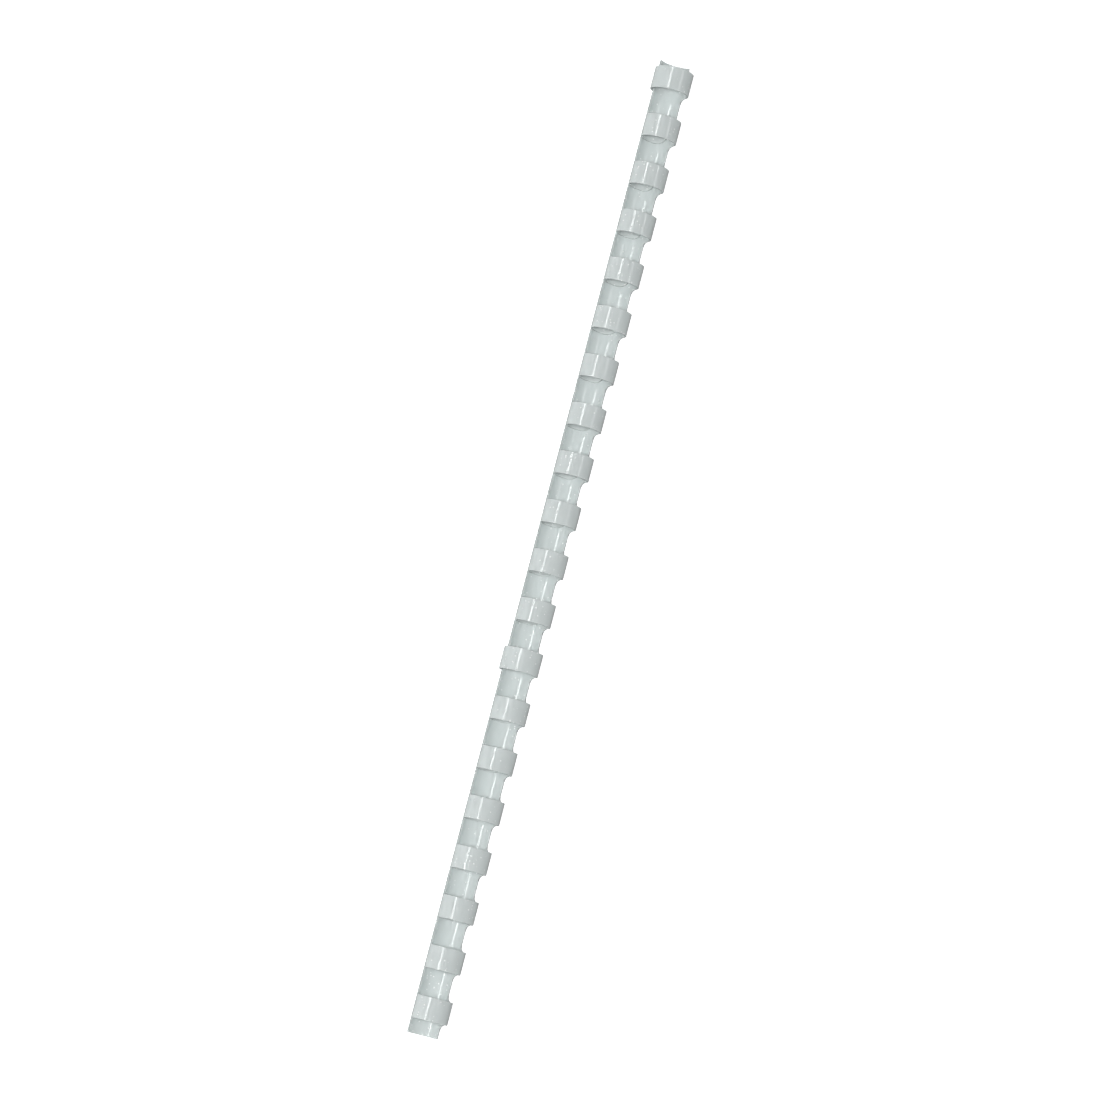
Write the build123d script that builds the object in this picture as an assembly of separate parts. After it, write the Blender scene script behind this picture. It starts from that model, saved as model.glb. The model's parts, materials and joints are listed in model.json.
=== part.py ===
from build123d import *
import math
import os

# Plastic binding comb, 10 mm size, 20 fingers, cut from one thickness of PVC sheet.
# Millimetres. X runs along the comb, +Z is up, and the middle of the spine's back is down.
# The lip, where the finger tips tuck in, is on the -Y side, and the finger roots are on the +Y side.
# The origin is on the ground plane, under the middle of the whole comb's box.

# ---- Driving dimensions ----
finger_count = 20
pitch = 14.2875
finger_width = 6.5
sheet = 0.42
outer_radius = 5.35

# How far the spine runs on past the edges of finger 1 and of the last finger: it is cut off unevenly.
first_overhang = 2.65
last_overhang = 4.30

# Angles in the section are in degrees from straight down, and grow towards the roots (+Y).
lip_angle = -55.0
flare_angle = -45.0
notch_angle = 60.0
notch_corner = 1.75
root_hinge_angle = 80.0
curl_hinge_angle = 240.0

# A finger's curl steps in, or out on a stray finger, between step_start and its own step end.
step_start = 230.0
tucked = {"depth": 0.60, "step_end": 325.0, "tip_angle": 407.0}
stray = {"depth": -0.62, "step_end": 305.0, "tip_angle": 379.0}
stray_fingers = [1, 13]

hinge_clearance = 0.03
cut_reach = 1.9

# ---- Worked out from them ----
half_sheet = sheet / 2
middle_radius = outer_radius - half_sheet
seat_radius = half_sheet + hinge_clearance
notch_width = pitch - finger_width
axis_height = outer_radius - stray["depth"]


def outward(angle):
    """Unit vector from the comb's axis, in section coordinates (Y, Z)."""
    turn = math.radians(angle)
    return Vector(math.sin(turn), -math.cos(turn))


comb_axis = Vector(0, axis_height)


def curl_line(curl):
    """A finger's middle line: tangent arcs as (centre, radius, first angle, last angle)."""
    half_step = math.radians((curl["step_end"] - step_start) / 2)
    mid_step = (step_start + curl["step_end"]) / 2
    offset = curl["depth"] / (2 * (1 - math.cos(half_step)))
    first_radius = middle_radius - offset
    second_radius = first_radius + 2 * offset * math.cos(half_step)
    first_centre = comb_axis + outward(step_start) * offset
    second_centre = first_centre + outward(mid_step) * (first_radius - second_radius)
    return [
        (comb_axis, middle_radius, flare_angle, step_start),
        (first_centre, first_radius, step_start, mid_step),
        (second_centre, second_radius, mid_step, curl["step_end"]),
        (comb_axis, middle_radius - curl["depth"], curl["step_end"], curl["tip_angle"]),
    ]


def stretch(line, start, end):
    """The part of a middle line between two angles."""
    pieces = []
    for centre, radius, first, last in line:
        low = max(first, start)
        high = min(last, end)
        if high > low:
            pieces.append((centre, radius, low, high))
    return pieces


def point_at(line, angle):
    """Where a middle line is at an angle."""
    for centre, radius, first, last in line:
        if first <= angle <= last:
            return centre + outward(angle) * radius
    raise ValueError("angle beyond the line")


def section_arc(centre, radius, first, last):
    return CenterArc(centre, radius, first - 90, last - first)


def band(line):
    """Section of the sheet along a middle line, cut square at both ends."""
    outer = [section_arc(c, r + half_sheet, a, b) for c, r, a, b in line]
    inner = [section_arc(c, r - half_sheet, a, b) for c, r, a, b in line]
    start_cut = Line(inner[0] @ 0, outer[0] @ 0)
    end_cut = Line(outer[-1] @ 1, inner[-1] @ 1)
    return make_face([start_cut, *outer, end_cut, *inner])


def knuckle(line, angle):
    """Half-round start of a strip, about its flex line."""
    return Pos(*point_at(line, angle)) * Circle(half_sheet)


def seat(line, angle):
    """What a strip's end leaves free for the next strip's knuckle, and for its swing outwards."""
    centre = point_at(line, angle)
    swing = Rectangle(2 * seat_radius, 2 * sheet, align=(Align.CENTER, Align.MIN))
    return Pos(*centre) * (Circle(seat_radius) + Rot(0, 0, angle) * Rot(0, 0, 180) * swing)


def lift(section, x_start, length):
    """Solid from a section, from x_start along +X."""
    return extrude(Plane.YZ.offset(x_start) * section, amount=length)


def tangent_plane(line_radius, angle, x_centre):
    """Plane on the sheet, with x along the comb and y the way the angle grows."""
    centre = comb_axis + outward(angle) * line_radius
    normal = outward(angle) * -1
    return Plane(origin=(x_centre, centre.X, centre.Y), x_dir=(1, 0, 0), z_dir=(0, normal.X, normal.Y))


def notch_cutter(x_centre):
    """Round-cornered slot between two finger roots, cut square to the sheet."""
    angle = (notch_angle + root_hinge_angle) / 2
    bottom = -middle_radius * math.sin(math.radians(angle - notch_angle))
    length = 4 * notch_corner
    slot = Pos(0, bottom + length / 2) * RectangleRounded(notch_width, length, notch_corner)
    return extrude(tangent_plane(middle_radius, angle, x_centre) * slot, amount=cut_reach, both=True)


def tip_cutter(curl, x_centre):
    """What is cut away round a finger's full-round tip."""
    radius = middle_radius - curl["depth"]
    tip_radius = finger_width / 2
    lean = math.degrees(math.asin(tip_radius / 2 / radius))
    rest = Rectangle(2 * finger_width, finger_width, align=(Align.CENTER, Align.MIN))
    waste = Pos(0, -tip_radius / 2) * (rest - Circle(tip_radius))
    plane = tangent_plane(radius, curl["tip_angle"] - lean, x_centre)
    return extrude(plane * waste, amount=cut_reach, both=True)


def finger_x(number):
    """Middle of a finger along the comb."""
    return (number - (finger_count + 1) / 2) * pitch


def spine():
    back = curl_line(tucked)
    x_start = finger_x(1) - finger_width / 2 - first_overhang
    x_end = finger_x(finger_count) + finger_width / 2 + last_overhang
    wall = band(stretch(back, flare_angle, root_hinge_angle)) - seat(back, root_hinge_angle)
    lip_length = middle_radius * math.tan(math.radians(flare_angle - lip_angle))
    lip_strip = Rectangle(lip_length, sheet, align=(Align.MAX, Align.CENTER))
    lip = Pos(*point_at(back, flare_angle)) * Rot(0, 0, flare_angle) * lip_strip
    strip = lift(wall + lip, x_start, x_end - x_start)
    for gap in range(finger_count + 1):
        strip -= notch_cutter((gap - finger_count / 2) * pitch)
    return strip


def finger_base(number, curl):
    line = curl_line(curl)
    strip = band(stretch(line, root_hinge_angle, curl_hinge_angle)) + knuckle(line, root_hinge_angle)
    strip -= seat(line, curl_hinge_angle)
    return lift(strip, finger_x(number) - finger_width / 2, finger_width)


def finger_tip(number, curl):
    line = curl_line(curl)
    strip = band(stretch(line, curl_hinge_angle, curl["tip_angle"])) + knuckle(line, curl_hinge_angle)
    blank = lift(strip, finger_x(number) - finger_width / 2, finger_width)
    return blank - tip_cutter(curl, finger_x(number))


def save(name, shape):
    solid = shape.solids()[0]
    solid.label = name
    export_step(solid, f"parts/{name}.step")


pieces = {"spine": spine()}
for number in range(1, finger_count + 1):
    curl = stray if number in stray_fingers else tucked
    pieces[f"finger_{number:02d}_base"] = finger_base(number, curl)
    pieces[f"finger_{number:02d}_tip"] = finger_tip(number, curl)

boxes = [shape.bounding_box() for shape in pieces.values()]
low_x = min(box.min.X for box in boxes)
high_x = max(box.max.X for box in boxes)
low_y = min(box.min.Y for box in boxes)
high_y = max(box.max.Y for box in boxes)
low_z = min(box.min.Z for box in boxes)
to_origin = Pos(-(low_x + high_x) / 2, -(low_y + high_y) / 2, -low_z)

os.makedirs("parts", exist_ok=True)
for name, shape in pieces.items():
    save(name, to_origin * shape)

# The places that the record repeats.
shift = Vector(*to_origin.position)
print(f"fingers moved along X by {shift.X:.4f}, comb length {high_x - low_x:.4f}")
print(f"comb axis at Y {comb_axis.X + shift.Y:.4f} Z {comb_axis.Y + shift.Z:.4f}")
for name, curl in (("tucked", tucked), ("stray", stray)):
    for flex, angle in (("root", root_hinge_angle), ("curl", curl_hinge_angle)):
        place = point_at(curl_line(curl), angle)
        print(f"{name} {flex} flex line at Y {place.X + shift.Y:.4f} Z {place.Y + shift.Z:.4f}")
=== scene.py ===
import json
import math

import bmesh
import bpy
from mathutils import Matrix, Vector


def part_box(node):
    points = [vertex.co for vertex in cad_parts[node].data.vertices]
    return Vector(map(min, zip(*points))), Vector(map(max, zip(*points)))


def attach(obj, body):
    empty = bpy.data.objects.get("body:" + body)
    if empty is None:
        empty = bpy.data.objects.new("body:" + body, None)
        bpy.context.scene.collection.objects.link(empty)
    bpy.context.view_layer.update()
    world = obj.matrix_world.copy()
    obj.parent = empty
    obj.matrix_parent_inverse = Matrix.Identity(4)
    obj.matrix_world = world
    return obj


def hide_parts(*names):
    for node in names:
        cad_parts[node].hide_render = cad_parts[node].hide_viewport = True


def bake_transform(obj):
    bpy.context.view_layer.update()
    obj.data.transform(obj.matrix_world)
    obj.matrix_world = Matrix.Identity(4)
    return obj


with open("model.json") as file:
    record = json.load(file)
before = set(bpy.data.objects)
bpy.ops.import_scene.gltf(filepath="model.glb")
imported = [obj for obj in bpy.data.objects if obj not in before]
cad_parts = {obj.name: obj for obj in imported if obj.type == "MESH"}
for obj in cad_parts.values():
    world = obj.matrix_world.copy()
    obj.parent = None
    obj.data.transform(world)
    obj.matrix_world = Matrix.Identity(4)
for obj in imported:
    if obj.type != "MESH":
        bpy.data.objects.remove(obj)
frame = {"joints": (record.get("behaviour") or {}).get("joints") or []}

print("comb: frame loaded")
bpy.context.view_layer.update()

mm = 0.001
tiny = 1e-6  # less than any length in metres, or turn in degrees, that counts
alongComb = Vector((1, 0, 0))

# the comb's sizes and place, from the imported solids
fingerCount = len(frame["joints"]) // 2  # a finger has two joints
spineLow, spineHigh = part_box("spine")
plainLow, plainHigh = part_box("finger_10_base")
outerRadius = (plainHigh.z - spineLow.z) / 2
axisZ = (plainHigh.z + spineLow.z) / 2
axisY = plainHigh.y - outerRadius
combAxis = Vector((0, axisY, axisZ))
fingerWidth = plainHigh.x - plainLow.x

# angles in the section are in degrees from straight down, and grow towards the roots
comb = {
    "sheet": 0.42 * mm,
    "lipAngle": -55.0,
    "flareAngle": -45.0,
    "notchAngle": 60.0,
    "notchCorner": 1.75 * mm,
    "stepStart": 230.0,
    "tucked": {"depth": 0.60 * mm, "stepEnd": 325.0, "tipAngle": 407.0},
    "stray": {"depth": -0.62 * mm, "stepEnd": 305.0, "tipAngle": 379.0},
    "strayFingers": (1, 13),
}

halfSheet = comb["sheet"] / 2
middleRadius = outerRadius - halfSheet


def outward(angle):
    turn = math.radians(angle)
    return Vector((0, math.sin(turn), -math.cos(turn)))


def sectionPoint(x, angle, radius, centre):
    return Vector((x, 0, 0)) + centre + outward(angle) * radius


def curlLine(curl):
    # tangent arcs of a finger's middle line: centre, radius, first angle, last angle
    start = comb["stepStart"]
    end = curl["stepEnd"]
    middle = (start + end) / 2
    halfTurn = math.radians(end - start) / 2
    offset = curl["depth"] / (2 * (1 - math.cos(halfTurn)))
    firstRadius = middleRadius - offset
    secondRadius = firstRadius + 2 * offset * math.cos(halfTurn)
    firstCentre = combAxis + outward(start) * offset
    secondCentre = firstCentre + outward(middle) * (firstRadius - secondRadius)
    return [
        (combAxis, middleRadius, comb["flareAngle"], start),
        (firstCentre, firstRadius, start, middle),
        (secondCentre, secondRadius, middle, end),
        (combAxis, middleRadius - curl["depth"], end, curl["tipAngle"]),
    ]


def arcAt(line, angle):
    # centre and radius of the arc that holds an angle
    for centre, radius, first, last in line:
        if first <= angle < last:
            return centre, radius
    return line[-1][:2]


def pointAt(line, angle):
    centre, radius = arcAt(line, angle)
    return centre + outward(angle) * radius


# how finely the sheet is meshed, and how its rims are rounded
# rimFrom and smoothBelow are degrees between two faces
# a cut face's normal has less than cutFaceBelow of its length along the radius
# a side edge has less than sideEdgeBelow of its length along the comb
meshing = {
    "degreesPerStep": 1.5,
    "support": 0.16 * mm,
    "rim": 0.11 * mm,
    "rimSegments": 3,
    "rimFrom": 50.0,
    "smoothBelow": 55.0,
    "cutFaceBelow": 0.5,
    "sideEdgeBelow": 0.9,
}


def vertsOf(geom):
    return [g for g in geom if isinstance(g, bmesh.types.BMVert)]


def edgesOf(geom):
    return [g for g in geom if isinstance(g, bmesh.types.BMEdge)]


def stationsFor(half):
    # places across a strip of this half width, with one close to each side to hold its rim
    inset = min(meshing["support"], half / 2)
    return [-half, -half + inset, 0.0, half - inset, half]


def startLoop(bm, line, angle, xs):
    # a closed loop of edges round the sheet's cut end, outer side first
    centre, radius = arcAt(line, angle)
    outer = [bm.verts.new(sectionPoint(x, angle, radius + halfSheet, centre)) for x in xs]
    inner = [bm.verts.new(sectionPoint(x, angle, radius - halfSheet, centre)) for x in reversed(xs)]
    ring = outer + inner
    return ring + [bm.edges.new((a, b)) for a, b in zip(ring, ring[1:] + ring[:1])]


def spinLoop(bm, loop, centre, angle):
    out = bmesh.ops.spin(bm, geom=loop, cent=centre, axis=alongComb, dvec=(0, 0, 0),
                         angle=math.radians(angle), steps=1, use_merge=False,
                         use_normal_flip=False, use_duplicate=False)
    return out["geom_last"]


def spinAlong(bm, loop, line, start, end):
    # small turns that follow the middle line from one angle to another
    for centre, _, first, last in line:
        low = max(first, start)
        high = min(last, end)
        if high - low < tiny:
            continue
        count = max(1, round((high - low) / meshing["degreesPerStep"]))
        for _ in range(count):
            loop = spinLoop(bm, loop, centre, (high - low) / count)
    return loop


def setHalfWidth(loop, xCentre, oldHalf, newHalf):
    # moves a loop's stations to a new half width
    old = stationsFor(oldHalf)
    new = stationsFor(newHalf)
    for v in vertsOf(loop):
        place = v.co.x - xCentre
        nearest = min(range(len(old)), key=lambda i: abs(old[i] - place))
        v.co.x = xCentre + new[nearest]


def fillCap(bm, loop):
    bmesh.ops.edgeloop_fill(bm, edges=edgesOf(loop))


def softenRims(bm, keep):
    # rounds the sharp edges of the sheet, sides and ends, that keep() accepts
    sharp = math.radians(meshing["rimFrom"])
    rims = [e for e in bm.edges
            if len(e.link_faces) == 2 and e.calc_face_angle(0) > sharp and keep(e)]
    bmesh.ops.bevel(bm, geom=rims, offset=meshing["rim"], offset_type="OFFSET",
                    segments=meshing["rimSegments"], profile=0.5, affect="EDGES",
                    clamp_overlap=True, material=-1)


def markPaintedEdgeShade(bm):
    # 1 on faces that lie across the sheet, 0 on its inner and outer sides; the faces marked 1 get a
    # darker colour, painted shade along the sheet's edges
    mark = bm.faces.layers.float.new("paintedEdgeShade")
    for face in bm.faces:
        away = face.calc_center_median() - combAxis
        away.x = 0
        share = abs(face.normal.dot(away.normalized()))
        face[mark] = 1.0 if share < meshing["cutFaceBelow"] else 0.0


def makePiece(bm, name, material):
    bmesh.ops.recalc_face_normals(bm, faces=bm.faces)
    markPaintedEdgeShade(bm)
    mesh = bpy.data.meshes.new(name)
    bm.to_mesh(mesh)
    bm.free()
    piece = bpy.data.objects.new(name, mesh)
    bpy.context.scene.collection.objects.link(piece)
    mesh.materials.append(material)
    mesh.shade_smooth()
    mesh.set_sharp_from_angle(angle=math.radians(meshing["smoothBelow"]))
    return piece


pvcLook = {
    "light": (0.612, 0.655, 0.650, 1),
    "dark": (0.580, 0.622, 0.617, 1),
    # painted shade colour for the cut faces across the sheet
    "paintedEdgeShade": (0.400, 0.435, 0.430, 1),
    "roughness": (0.08, 0.12),
    "throughLight": 0.55,
    "throughDepth": 0.9 * mm,
    "throughColour": (1.0, 1.0, 1.0),
    "ior": 1.58,
    "mottleScale": 260.0,
    "mottleDetail": 4,
    "grainScale": 5200.0,
    "grainDetail": 3,
    "grainBump": 0.035,
    "grainDepth": 0.1 * mm,
    "wavesScale": 90.0,
    "wavesDetail": 2,
    "wavesBump": 0.06,
    "wavesDepth": 1.0 * mm,
    "nickScale": 1000.0,
    "nickSize": 0.32,
    "nickFrom": 0.31,
    "nickBump": 1.0,
    "nickDepth": 0.09 * mm,
    # painted glint colour for the dents
    "nickGlintPaint": (0.950, 0.960, 0.960, 1),
}


def noisePattern(tree, place, scale, detail):
    noise = tree.nodes.new("ShaderNodeTexNoise")
    noise.inputs["Scale"].default_value = scale
    noise.inputs["Detail"].default_value = detail
    tree.links.new(place, noise.inputs["Vector"])
    return noise.outputs["Fac"]


def colourMix(tree, factor, low, high):
    # low where the factor is 0 and high where it is 1, each a colour or an output
    mix = tree.nodes.new("ShaderNodeMix")
    mix.data_type = "RGBA"
    tree.links.new(factor, mix.inputs["Factor"])
    for socket, colour in (("A", low), ("B", high)):
        if isinstance(colour, tuple):
            mix.inputs[socket].default_value = colour
        else:
            tree.links.new(colour, mix.inputs[socket])
    return mix.outputs["Result"]


def mathOf(tree, operation, first, second):
    # first is an output, second an output or a number
    node = tree.nodes.new("ShaderNodeMath")
    node.operation = operation
    tree.links.new(first, node.inputs[0])
    if isinstance(second, float):
        node.inputs[1].default_value = second
    else:
        tree.links.new(second, node.inputs[1])
    return node.outputs["Value"]


def bumpOver(tree, height, strength, depth, under=None):
    bump = tree.nodes.new("ShaderNodeBump")
    bump.inputs["Strength"].default_value = strength
    bump.inputs["Distance"].default_value = depth
    tree.links.new(height, bump.inputs["Height"])
    if under:
        tree.links.new(under, bump.inputs["Normal"])
    return bump.outputs["Normal"]


def pvcMaterial(name, look):
    material = bpy.data.materials.new(name)
    material.use_nodes = True
    tree = material.node_tree
    shader = tree.nodes["Principled BSDF"]
    shader.inputs["IOR"].default_value = look["ior"]
    # the thin sheet lets some light through
    shader.inputs["Subsurface Weight"].default_value = look["throughLight"]
    shader.inputs["Subsurface Radius"].default_value = look["throughColour"]
    shader.inputs["Subsurface Scale"].default_value = look["throughDepth"]
    place = tree.nodes.new("ShaderNodeTexCoord").outputs["Object"]
    mottle = noisePattern(tree, place, look["mottleScale"], look["mottleDetail"])
    waves = noisePattern(tree, place, look["wavesScale"], look["wavesDetail"])
    grain = noisePattern(tree, place, look["grainScale"], look["grainDetail"])

    # small nicks in patches, where the sheet is dented; the dents are also coloured near white, a
    # painted glint
    nicks = tree.nodes.new("ShaderNodeTexVoronoi")
    nicks.inputs["Scale"].default_value = look["nickScale"]
    tree.links.new(place, nicks.inputs["Vector"])
    dent = tree.nodes.new("ShaderNodeMapRange")
    dent.interpolation_type = "SMOOTHSTEP"
    dent.inputs["From Max"].default_value = look["nickSize"]
    tree.links.new(nicks.outputs["Distance"], dent.inputs["Value"])
    chance = mathOf(tree, "MULTIPLY", nicks.outputs["Color"], waves)
    unmarked = mathOf(tree, "LESS_THAN", chance, look["nickFrom"])
    surface = mathOf(tree, "MAXIMUM", dent.outputs["Result"], unmarked)

    # painted shade: the cut faces across the sheet are coloured darker, standing in for the shade
    # along its edges
    cut = tree.nodes.new("ShaderNodeAttribute")
    cut.attribute_name = "paintedEdgeShade"
    tint = colourMix(tree, mottle, look["dark"], look["light"])
    edgeShaded = colourMix(tree, cut.outputs["Fac"], tint, look["paintedEdgeShade"])
    # painted glints: the dents are coloured near white
    glintPainted = colourMix(tree, surface, look["nickGlintPaint"], edgeShaded)
    tree.links.new(glintPainted, shader.inputs["Base Color"])

    gloss = tree.nodes.new("ShaderNodeMapRange")
    gloss.inputs["To Min"].default_value = look["roughness"][0]
    gloss.inputs["To Max"].default_value = look["roughness"][1]
    tree.links.new(grain, gloss.inputs["Value"])
    tree.links.new(gloss.outputs["Result"], shader.inputs["Roughness"])

    wavy = bumpOver(tree, waves, look["wavesBump"], look["wavesDepth"])
    dented = bumpOver(tree, surface, look["nickBump"], look["nickDepth"], wavy)
    grained = bumpOver(tree, grain, look["grainBump"], look["grainDepth"], dented)
    tree.links.new(grained, shader.inputs["Normal"])
    return material


pvcSheet = pvcMaterial("pvcSheet", pvcLook)
print("comb: material made")

# a root is wider than its finger by a round corner on each side
rootHalf = fingerWidth / 2 + comb["notchCorner"]
fingerX = {}
for number in range(1, fingerCount + 1):
    baseLow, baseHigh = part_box(f"finger_{number:02d}_base")
    fingerX[number] = (baseLow.x + baseHigh.x) / 2


def makeSpine():
    line = curlLine(comb["tucked"])
    start = comb["flareAngle"]
    end = comb["notchAngle"]
    low = spineLow.x
    high = spineHigh.x
    xs = [low, low + meshing["support"], high - meshing["support"], high]
    for x in fingerX.values():
        xs += [x - rootHalf, x, x + rootHalf]
    xs.sort()
    bm = bmesh.new()
    loop = startLoop(bm, line, start, xs)
    # the lip runs straight on from where the curl ends
    lipLength = middleRadius * math.tan(math.radians(start - comb["lipAngle"]))
    straight = Matrix.Rotation(math.radians(start), 3, "X") @ Vector((0, -1, 0))
    lip = bmesh.ops.extrude_edge_only(bm, edges=edgesOf(loop))["geom"]
    bmesh.ops.translate(bm, vec=straight * lipLength, verts=vertsOf(lip))
    fillCap(bm, [e for e in edgesOf(lip) if len(e.link_faces) == 1])
    loop = spinAlong(bm, loop, line, start, end)
    fillCap(bm, loop)
    top = pointAt(line, end)

    def rimOfSpine(e):
        # not the edges under a finger's root, where the sheet carries on
        onTop = all(abs((v.co - top).dot(outward(end + 90))) < tiny for v in e.verts)
        middle = (e.verts[0].co.x + e.verts[1].co.x) / 2
        underRoot = any(abs(middle - x) < rootHalf - tiny for x in fingerX.values())
        return not (onTop and underRoot)

    softenRims(bm, rimOfSpine)
    piece = makePiece(bm, "spine_strip", pvcSheet)
    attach(piece, "spine")
    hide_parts("spine")


makeSpine()
print("comb: spine made")

# the seams part a finger into its three strips
# a flex is the flex line's angle, and how many degrees it bends over on each side
finger = {
    "frontSeam": 125.0,
    "lipSeam": 300.0,
    "rootFlex": (80.0, 14.0),
    "curlFlex": (240.0, 58.0),
    "cornerSteps": 12,
    "tipSteps": 16,
    "tipTurn": 86.0,
}


def sideEdge(e):
    # a long edge of the strip, not one round a cut end
    a, b = e.verts
    return abs((a.co - b.co).normalized().x) < meshing["sideEdgeBelow"]


def startStrip(x, line, angle, half):
    bm = bmesh.new()
    loop = startLoop(bm, line, angle, [x + s for s in stationsFor(half)])
    fillCap(bm, loop)
    return bm, loop


def rootStrip(name, x, line):
    # flares into the spine with two round corners, and ends at the front seam
    start = comb["notchAngle"]
    corner = comb["notchCorner"]
    centre, radius = arcAt(line, start)
    bm, loop = startStrip(x, line, start, rootHalf)
    angle = start
    half = rootHalf
    for i in range(1, finger["cornerSteps"] + 1):
        turned = math.pi / 2 * i / finger["cornerSteps"]
        nextAngle = start + math.degrees(corner * (1 - math.cos(turned)) / radius)
        nextHalf = fingerWidth / 2 + corner * (1 - math.sin(turned))
        loop = spinLoop(bm, loop, centre, nextAngle - angle)
        setHalfWidth(loop, x, half, nextHalf)
        angle = nextAngle
        half = nextHalf
    loop = spinAlong(bm, loop, line, angle, finger["frontSeam"])
    fillCap(bm, loop)
    softenRims(bm, sideEdge)
    return makePiece(bm, name, pvcSheet)


def frontStrip(name, x, line):
    bm, loop = startStrip(x, line, finger["frontSeam"], fingerWidth / 2)
    loop = spinAlong(bm, loop, line, finger["frontSeam"], finger["lipSeam"])
    fillCap(bm, loop)
    softenRims(bm, sideEdge)
    return makePiece(bm, name, pvcSheet)


def tipStrip(name, x, line):
    # runs on past the lip, and ends full round but for a small flat at its very end
    bm, loop = startStrip(x, line, finger["lipSeam"], fingerWidth / 2)
    tipRadius = fingerWidth / 2
    centre, endRadius, _, endAngle = line[-1]
    roundStart = endAngle - math.degrees(tipRadius / endRadius)
    loop = spinAlong(bm, loop, line, finger["lipSeam"], roundStart)
    angle = roundStart
    half = tipRadius
    for i in range(1, finger["tipSteps"] + 1):
        turned = math.radians(finger["tipTurn"]) * i / finger["tipSteps"]
        nextAngle = roundStart + math.degrees(tipRadius * math.sin(turned) / endRadius)
        nextHalf = tipRadius * math.cos(turned)
        loop = spinLoop(bm, loop, centre, nextAngle - angle)
        setHalfWidth(loop, x, half, nextHalf)
        angle = nextAngle
        half = nextHalf
    fillCap(bm, loop)

    def rimOfTip(e):
        return sideEdge(e) or max(abs(v.co.x - x) for v in e.verts) < half + tiny

    softenRims(bm, rimOfTip)
    return makePiece(bm, name, pvcSheet)


for number, x in fingerX.items():
    name = f"finger_{number:02d}"
    stray = number in comb["strayFingers"]
    line = curlLine(comb["stray"] if stray else comb["tucked"])
    root = rootStrip(f"{name}_root_strip", x, line)
    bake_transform(root)
    front = frontStrip(f"{name}_front_strip", x, line)
    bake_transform(front)
    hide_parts(f"{name}_base")
    tip = tipStrip(f"{name}_tip_strip", x, line)
    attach(tip, f"{name}_tip")
    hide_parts(f"{name}_tip")
print("comb: fingers made")

# the floor glows like a light table, so that the comb's shadow stays faint
floorSet = {
    "size": 6.0,
    "colour": (0.60, 0.61, 0.61, 1),
    "roughness": 0.9,
    "specular": 0.1,
    "glowColour": (1, 1, 1, 1),
    "glow": 0.88,
}


def makeFloor():
    mesh = bpy.data.meshes.new("floor")
    bm = bmesh.new()
    bmesh.ops.create_grid(bm, x_segments=1, y_segments=1, size=floorSet["size"] / 2)
    bm.to_mesh(mesh)
    bm.free()
    floor = bpy.data.objects.new("floor", mesh)
    bpy.context.scene.collection.objects.link(floor)
    material = bpy.data.materials.new("paleFloor")
    material.use_nodes = True
    shader = material.node_tree.nodes["Principled BSDF"]
    shader.inputs["Base Color"].default_value = floorSet["colour"]
    shader.inputs["Roughness"].default_value = floorSet["roughness"]
    shader.inputs["Specular IOR Level"].default_value = floorSet["specular"]
    shader.inputs["Emission Color"].default_value = floorSet["glowColour"]
    shader.inputs["Emission Strength"].default_value = floorSet["glow"]
    mesh.materials.append(material)
    # kept out of the sheet's reflections, so that its edges stand out from the pale floor
    floor.visible_glossy = False


# lean and roll are in degrees, and turn is an angle in the section
cameraSet = {
    "lens": 134.18,
    "sensor": 36,
    "clipEnd": 20,
    "distance": 1.1528,
    "lean": 6.86,
    "turn": 194.975,
    "roll": -14.59,
    "aim": (2.29 * mm, -0.02 * mm, 5.53 * mm),
}


def lookFrom(direction, up):
    # rotation whose -Z looks against direction, with Y as near up as it can be
    back = direction.normalized()
    right = up.cross(back).normalized()
    return Matrix((right, back.cross(right), back)).transposed()


def makeCamera():
    lean = math.radians(cameraSet["lean"])
    back = outward(cameraSet["turn"]) * math.cos(lean) + alongComb * math.sin(lean)
    roll = Matrix.Rotation(math.radians(-cameraSet["roll"]), 3, "Z")
    camera = bpy.data.objects.new("camera", bpy.data.cameras.new("camera"))
    camera.data.lens = cameraSet["lens"]
    camera.data.sensor_width = cameraSet["sensor"]
    camera.data.clip_end = cameraSet["clipEnd"]
    camera.location = Vector(cameraSet["aim"]) + back * cameraSet["distance"]
    camera.rotation_euler = (lookFrom(back, -alongComb) @ roll).to_euler()
    bpy.context.scene.collection.objects.link(camera)
    bpy.context.scene.camera = camera


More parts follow.
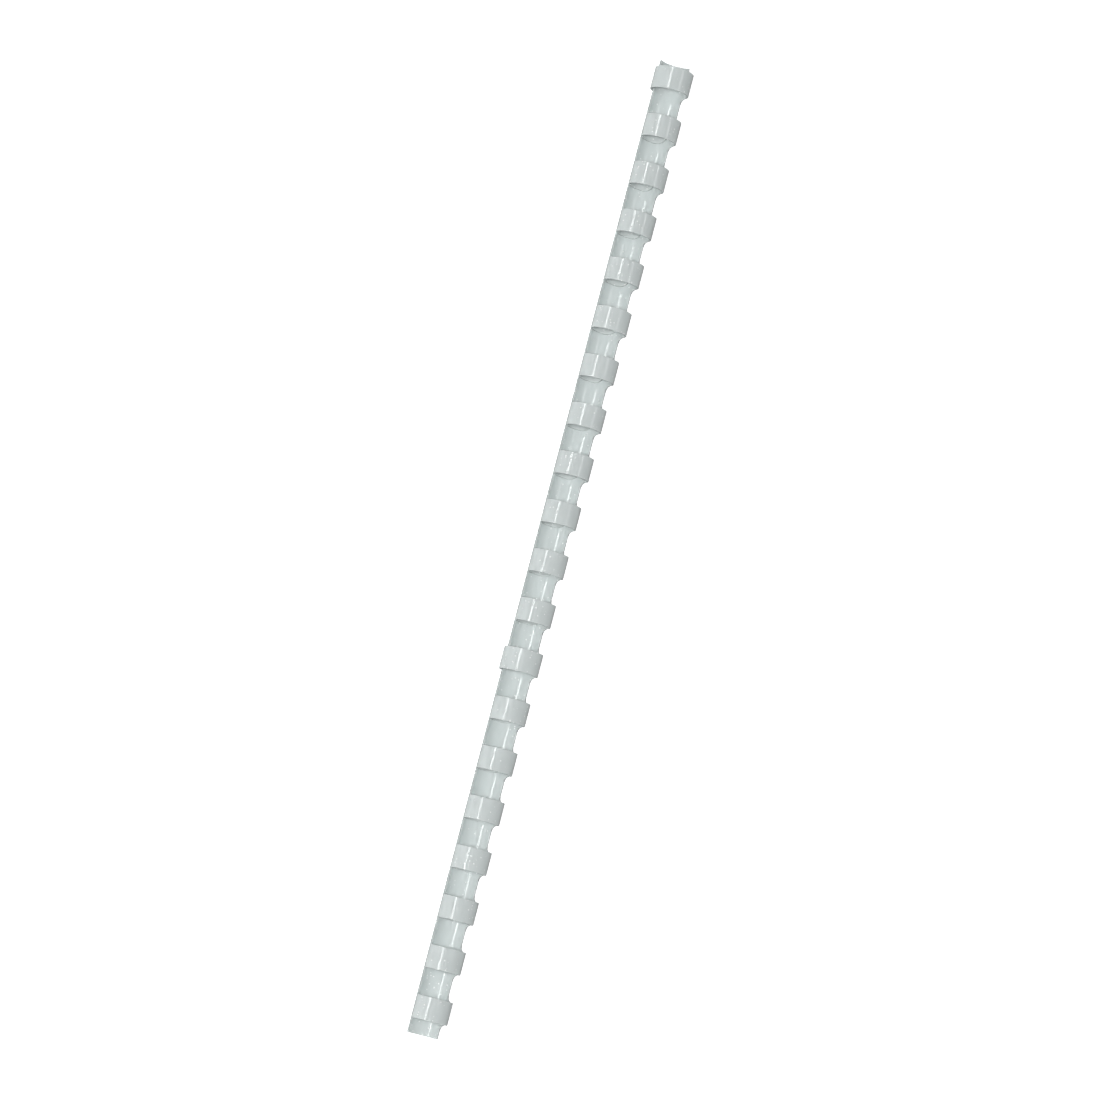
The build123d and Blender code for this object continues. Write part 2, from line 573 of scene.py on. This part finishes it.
# turn is the light's angle round the comb, and from and to are places along it
stripLights = {
    "mainStrip": {
        "turn": 218.0,
        "distance": 1.3,
        "from": -1.1,
        "to": 1.1,
        "width": 0.20,
        "radiance": 7.5,
        "use": "gloss",
    },
    "sideStrip": {
        "turn": 147.0,
        "distance": 1.3,
        "from": -0.75,
        "to": -0.17,
        "width": 0.14,
        "radiance": 4.0,
        "use": "gloss",
    },
    "frontFill": {
        "turn": 200.0,
        "distance": 1.25,
        "from": 0.05,
        "to": 0.25,
        "width": 0.25,
        "radiance": 79.0,
        "use": "fill",
    },
}


def makeStripLight(name, strip):
    direction = outward(strip["turn"])
    length = strip["to"] - strip["from"]
    lamp = bpy.data.objects.new(name, bpy.data.lights.new(name, "AREA"))
    lamp.data.shape = "RECTANGLE"
    lamp.data.size = length
    lamp.data.size_y = strip["width"]
    lamp.data.energy = math.pi * strip["radiance"] * length * strip["width"]
    # a strip shows only as a streak of gloss, and the fill only as soft light
    lamp.visible_glossy = strip["use"] == "gloss"
    lamp.visible_diffuse = strip["use"] == "fill"
    lamp.visible_camera = False
    middle = Vector(((strip["from"] + strip["to"]) / 2, axisY, axisZ))
    lamp.location = middle + direction * strip["distance"]
    lamp.rotation_euler = lookFrom(direction, direction.cross(alongComb)).to_euler()
    bpy.context.scene.collection.objects.link(lamp)


# the surroundings light the comb dimly, and show pale behind it
surroundings = {"colour": (1, 1, 1, 1), "light": 0.20, "shown": 1.0}


def makeWorld():
    world = bpy.data.worlds.new("studio")
    world.use_nodes = True
    nodes = world.node_tree.nodes
    links = world.node_tree.links
    background = nodes["Background"]
    background.inputs["Color"].default_value = surroundings["colour"]
    ray = nodes.new("ShaderNodeLightPath")
    level = nodes.new("ShaderNodeMapRange")
    level.inputs["To Min"].default_value = surroundings["light"]
    level.inputs["To Max"].default_value = surroundings["shown"]
    links.new(ray.outputs["Is Camera Ray"], level.inputs["Value"])
    links.new(level.outputs["Result"], background.inputs["Strength"])
    bpy.context.scene.world = world
    bpy.context.scene.view_settings.view_transform = "Standard"


makeFloor()
makeCamera()
for name, strip in stripLights.items():
    makeStripLight(name, strip)
makeWorld()
print("comb: stage, lights and camera made")
